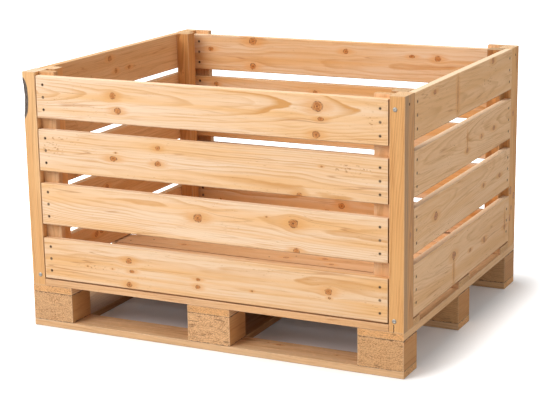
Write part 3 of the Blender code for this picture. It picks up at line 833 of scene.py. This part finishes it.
def metal_material(name, light, dark, roughness, rust, metallic):
    """Steel with fine mottling and, where wanted, some rust."""
    material, graph, shader = new_material(name)
    point = graph.node("TexCoord").outputs["Object"]
    mottle = graph.noise(point, (420.0, 420.0, 420.0), 3.0, 0.6)
    per_head = graph.noise(point, (23.0, 23.0, 23.0), 0.0)
    base = graph.mix(graph.ramp(mottle, 0.35, 0.65), (*dark, 1.0), (*light, 1.0))
    base = graph.mix(graph.multiply(graph.ramp(per_head, 0.45, 0.62), rust), base, RUST)
    graph.put_all(shader, {
        "Base Color": base,
        "Roughness": graph.ramp(mottle, 0.3, 0.7, roughness - 0.08, roughness + 0.12),
        "Metallic": metallic, "Specular IOR Level": 0.15 + 0.35 * metallic,
    })
    graph.bump(shader, mottle, 0.25, 0.0003)
    return material


def seat(point, outward, turn_angle):
    """The matrix that puts a fastener at a point, with its head outward."""
    turn = Vector((0, 0, 1)).rotation_difference(Vector(outward)).to_matrix().to_4x4()
    return Matrix.Translation(point) @ turn @ Matrix.Rotation(turn_angle, 4, "Z")


def level(height):
    """The same height at every point of a ring."""
    return lambda x, y: height


def ring_row(shape, matrix, sides, radius, height_at):
    """One ring of a turned solid, or its middle point where the radius is 0."""
    if radius == 0:
        return [shape.verts.new(matrix @ Vector((0, 0, height_at(0.0, 0.0))))]
    row = []
    for step in range(sides):
        angle = math.tau * step / sides
        x, y = radius * math.cos(angle), radius * math.sin(angle)
        row.append(shape.verts.new(matrix @ Vector((x, y, height_at(x, y)))))
    return row


def join_rows(shape, rows, sides):
    """Put the faces between the rings of a turned solid."""
    for lower, upper in zip(rows, rows[1:]):
        for step in range(sides):
            after = (step + 1) % sides
            around = (
                lower[step % len(lower)], lower[after % len(lower)],
                upper[after % len(upper)], upper[step % len(upper)],
            )
            corners = list(dict.fromkeys(around))
            if len(corners) > 2:
                shape.faces.new(corners)


def add_piece(name, shape, material):
    """Add a smooth new piece that rides on the box."""
    bmesh.ops.recalc_face_normals(shape, faces=shape.faces)
    mesh = bpy.data.meshes.new(name)
    shape.to_mesh(mesh)
    shape.free()
    mesh.materials.append(material)
    for face in mesh.polygons:
        face.use_smooth = True
    piece = bpy.data.objects.new(name, mesh)
    bpy.context.scene.collection.objects.link(piece)
    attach(piece, "root")
    return piece


def nail_profile(length):
    """A flat countersunk nail, from its point to its slightly domed head."""
    head, shank = NAIL_HEAD, NAIL_SHANK
    return [
        (0.0, -length), (shank, -length + NAIL_POINT), (shank, -0.0020), (head * 0.97, -0.0003),
        (head, -0.0001), (head * 0.95, 0.0), (head * 0.60, 0.00006), (0.0, 0.00010),
    ]


def add_nails(name, places, length, material):
    """One piece with all the nails of a group, each at its (point, outward direction)."""
    shape = bmesh.new()
    for index, (point, outward) in enumerate(places):
        matrix = seat(Vector(point) - NAIL_SUNK * Vector(outward), outward, NAIL_TURN * index)
        rows = [
            ring_row(shape, matrix, NAIL_SIDES, radius, level(height))
            for radius, height in nail_profile(length)
        ]
        join_rows(shape, rows, NAIL_SIDES)
    add_piece(name, shape, material)


def recess_depth(x, y, half_length, half_width, depth):
    """How deep a plain cross recess is at a point of a screw head."""
    mouth = half_width * 1.6
    deepest = 0.0
    for along, aside in ((abs(x), abs(y)), (abs(y), abs(x))):
        if along < half_length and aside < mouth:
            end = min(1.0, (half_length - along) / (half_length * 0.45))
            side = min(1.0, (mouth - aside) / (half_width * 0.9))
            deepest = max(deepest, depth * end * side)
    return deepest


def add_screw(
    name, point, outward, turn_angle, material, *, head, rise, shank, length, recess, countersunk
):
    """One cross-recessed screw, its head laid out on rings fine enough for the recess."""
    shape = bmesh.new()
    matrix = seat(point, outward, turn_angle)
    # Heights of the shank's upper end, the head's underside and the lowest part of its top
    neck, under, rim = (-head, -0.0004, -0.0003) if countersunk else (0.0003, 0.0003, 0.0004)

    def top(radius, lowest):
        """The height of the head's top round a ring."""
        dome = rise * math.sqrt(max(0.0, 1.0 - (radius / head) ** 2 * 0.97))
        return lambda x, y: max(
            lowest, dome - recess_depth(x, y, head * 0.62, head * 0.15, recess)
        )

    profile = [
        (0.0, level(-length)), (shank, level(-length + SCREW_POINT)), (shank, level(neck)),
        (head * 0.97, level(under)),
    ]
    for ring in range(SCREW_RINGS, 0, -1):
        radius = head * ring / SCREW_RINGS
        profile.append((radius, top(radius, rim)))
    profile.append((0.0, top(0.0, -recess)))
    rows = [ring_row(shape, matrix, SCREW_SIDES, radius, height) for radius, height in profile]
    join_rows(shape, rows, SCREW_SIDES)
    return add_piece(name, shape, material)


def slat_ends():
    """The nails of each slat end, as (point, outward direction, middle height, spacing)."""
    ends = []
    for side, side_sign in (("left", -1), ("right", 1)):
        for end, end_sign in (("front", -1), ("rear", 1)):
            face_y = REAR_SLAT_FACE if end == "rear" else -HALF_Y
            for node in boards:
                if node.startswith(f"slat_{end}"):
                    point, outward = (side_sign * END_NAIL_X, face_y), (0, -1, 0)
                elif node.startswith(f"slat_{side}"):
                    point, outward = (side_sign * HALF_X, end_sign * SIDE_NAIL_Y), (side_sign, 0, 0)
                else:
                    continue
                low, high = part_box(node)
                spacing = nail_spacing(high[2] - low[2])
                ends.append((point, outward, (low[2] + high[2]) / 2, spacing))
    return ends


# Timber
boards = sorted(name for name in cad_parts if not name.startswith("post_screw"))
for index, name in enumerate(boards):
    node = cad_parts[name]
    node.data.materials.clear()
    node.data.materials.append(wood_material(name, index))

# Metals
dark_steel = metal_material(
    "dark_steel", light=(0.060, 0.032, 0.018), dark=(0.026, 0.013, 0.008),
    roughness=0.65, rust=0.75, metallic=0.0,
)
pale_steel = metal_material(
    "pale_steel", light=(0.30, 0.20, 0.12), dark=(0.12, 0.070, 0.040),
    roughness=0.55, rust=0.35, metallic=0.3,
)
dull_steel = metal_material(
    "dull_steel", light=(0.150, 0.100, 0.062), dark=(0.060, 0.038, 0.024),
    roughness=0.60, rust=0.45, metallic=0.0,
)
zinc = metal_material(
    "zinc_plate", light=(0.47, 0.44, 0.39), dark=(0.28, 0.26, 0.23),
    roughness=0.38, rust=0.0, metallic=0.9,
)

# Nails in the slats. Those at the front panel's right end are duller
outer_nails, middle_nails = [], []
for point, outward, middle, spacing in slat_ends():
    middle_nails.append(((*point, middle), outward))
    for step in (-1, 1):
        outer_nails.append(((*point, middle + step * spacing), outward))
dull_nails = [nail for nail in outer_nails if nail[0][0] > 0 and nail[0][1] == -HALF_Y]
black_nails = [nail for nail in outer_nails if nail not in dull_nails]
add_nails("slat_nails_outer", black_nails, SLAT_NAIL_LENGTH, dark_steel)
add_nails("slat_nails_front_right", dull_nails, SLAT_NAIL_LENGTH, dull_steel)
add_nails("slat_nails_middle", middle_nails, SLAT_NAIL_LENGTH, pale_steel)

# Nails in the deck, the floor boards and the runners
deck_nails = []
for index, x in enumerate(DECK_NAIL_X):
    stagger = NAIL_STAGGER if index % 2 else -NAIL_STAGGER
    for y in (-DECK_NAIL_Y, stagger, DECK_NAIL_Y):
        deck_nails.append(((x, y, DECK_TOP), (0, 0, 1)))
add_nails("deck_nails", deck_nails, DECK_NAIL_LENGTH, dark_steel)

floor_nails = []
for name in boards:
    if name.startswith("floor_board"):
        low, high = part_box(name)
        for row in (-BLOCK_X, 0.0, BLOCK_X):
            for x, y in (
                (row - FLOOR_NAIL_ASIDE, low[1] + FLOOR_NAIL_INSET),
                (row + FLOOR_NAIL_ASIDE, high[1] - FLOOR_NAIL_INSET),
            ):
                floor_nails.append(((x, y, DECK_TOP), (0, 0, 1)))
add_nails("floor_nails", floor_nails, FLOOR_NAIL_LENGTH, dark_steel)

runner_nails = []
for row_x in (-BLOCK_X, 0.0, BLOCK_X):
    for row_y in (-BLOCK_Y, 0.0, BLOCK_Y):
        for sign in (-1, 1):
            x, y = row_x + sign * RUNNER_NAIL_ASIDE, row_y + sign * NAIL_STAGGER
            runner_nails.append(((x, y, 0.0), (0, 0, -1)))
add_nails("runner_nails", runner_nails, RUNNER_NAIL_LENGTH, dark_steel)

# Screws
screw_nodes = sorted(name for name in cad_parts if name.startswith("post_screw"))
for index, name in enumerate(screw_nodes):
    low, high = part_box(name)
    end_sign = -1 if "front" in name else 1
    point = ((low[0] + high[0]) / 2, end_sign * HALF_Y, (low[2] + high[2]) / 2)
    piece = add_screw(
        name + "_zinc", point, (0, end_sign, 0), 0.5 + 0.9 * index, zinc, **ZINC_SCREW
    )
    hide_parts(name)

for index, (side_sign, end_sign) in enumerate(((-1, -1), (-1, 1), (1, -1), (1, 1))):
    point = (side_sign * SIDE_SCREW_X, end_sign * SIDE_SCREW_Y, SIDE_SCREW_Z)
    add_screw(
        f"side_screw_{index + 1}", point, (side_sign, 0, 0), 0.3 + 1.1 * index, dark_steel,
        **SIDE_SCREW,
    )


def add_floor():
    """A pale floor whose lit parts go to white and which keeps the shadow. Under the box it has
    painted shade, and away from the box a glow to the camera, painted light that fades the cast
    shadow.
    """
    shape = bmesh.new()
    shape.faces.new([
        shape.verts.new((x * FLOOR_HALF, y * FLOOR_HALF, -FLOOR_DROP))
        for x, y in ((-1, -1), (1, -1), (1, 1), (-1, 1))
    ])
    mesh = bpy.data.meshes.new("floor")
    shape.to_mesh(mesh)
    shape.free()

    material, graph, principled = new_material("studio_floor")
    graph.tree.nodes.remove(principled)
    camera_ray = graph.node("LightPath").outputs["Is Camera Ray"]
    x, y, _ = graph.split(graph.node("TexCoord").outputs["Object"])
    within_x = graph.subtract(HALF_X, graph.absolute(x))
    within_y = graph.subtract(HALF_Y, graph.absolute(y))
    # painted shade: the floor is darker to the camera the further it lies under the box
    under = graph.ramp(graph.least(within_x, within_y), 0.02, 0.25)
    away = graph.length(graph.least(within_x, 0.0), graph.least(within_y, 0.0))
    matt = graph.put_all(graph.node("BsdfDiffuse"), {
        "Color": graph.mix(camera_ray, FLOOR_BOUNCE, graph.mix(under, WHITE, FLOOR_PAINTED_SHADE)),
    })
    # painted light: the floor glows to the camera more with distance from the box, which fades its
    # cast shadow
    shadow_fading_glow = graph.put_all(graph.node("Emission"), {
        "Strength": graph.multiply(camera_ray, graph.ramp(away, -0.03, 0.24)),
    })
    both = graph.put_all(graph.node("AddShader"), (matt.outputs[0], shadow_fading_glow.outputs[0]))
    graph.put(graph.tree.nodes["Material Output"].inputs["Surface"], both.outputs[0])
    mesh.materials.append(material)
    floor = bpy.data.objects.new("floor", mesh)
    bpy.context.scene.collection.objects.link(floor)


def add_world():
    """White to the camera and in reflections, softer as a light."""
    world = bpy.data.worlds.new("studio")
    bpy.context.scene.world = world
    world.use_nodes = True
    graph = Graph(world.node_tree)
    rays = graph.node("LightPath").outputs
    seen = graph.most(
        *(rays[f"Is {kind} Ray"] for kind in ("Camera", "Glossy", "Transmission"))
    )
    graph.put_all(world.node_tree.nodes["Background"], {
        "Color": WHITE, "Strength": graph.ramp(seen, 0.0, 1.0, WORLD_LIGHT, 1.0),
    })


def add_light(name, place, target, size, power, colour=(1.0, 1.0, 1.0)):
    """A soft square area light that looks at a point."""
    lamp = bpy.data.lights.new(name, "AREA")
    lamp.shape = "SQUARE"
    lamp.size = size
    lamp.energy = power
    lamp.color = colour
    holder = bpy.data.objects.new(name, lamp)
    bpy.context.scene.collection.objects.link(holder)
    holder.location = place
    ahead = Vector(target) - Vector(place)
    holder.rotation_euler = ahead.to_track_quat("-Z", "Y").to_euler()


def add_camera():
    """The photograph's viewpoint."""
    azimuth, pitch, roll = CAMERA_AZIMUTH, CAMERA_PITCH, CAMERA_ROLL
    ahead = Vector((
        -math.sin(azimuth) * math.cos(pitch), math.cos(azimuth) * math.cos(pitch),
        -math.sin(pitch),
    ))
    right = Vector((math.cos(azimuth), math.sin(azimuth), 0.0))
    up = right.cross(ahead)
    rolled_right = math.cos(roll) * right + math.sin(roll) * up
    rolled_up = -math.sin(roll) * right + math.cos(roll) * up
    data = bpy.data.cameras.new("camera")
    data.sensor_width = SENSOR_WIDTH
    data.lens = CAMERA_LENS_PX / IMAGE_WIDTH_PX * SENSOR_WIDTH
    data.clip_end = 60.0
    camera = bpy.data.objects.new("camera", data)
    turn = Matrix((rolled_right, rolled_up, -ahead)).transposed().to_4x4()
    camera.matrix_world = Matrix.Translation(CAMERA_PLACE) @ turn
    bpy.context.scene.collection.objects.link(camera)
    bpy.context.scene.camera = camera


add_floor()
add_world()
add_light("key", (-3.2, -4.8, 4.6), (0.0, 0.0, 0.3), 4.5, 390.0)
add_light("top", (-0.6, 0.2, 5.0), (0.0, 0.0, 0.4), 3.0, 120.0)
add_light("right_fill", (4.6, -1.6, 2.4), (0.0, 0.0, 0.4), 2.4, 38.0, (1.0, 0.97, 0.93))
add_camera()
bpy.context.scene.view_settings.view_transform = "Standard"
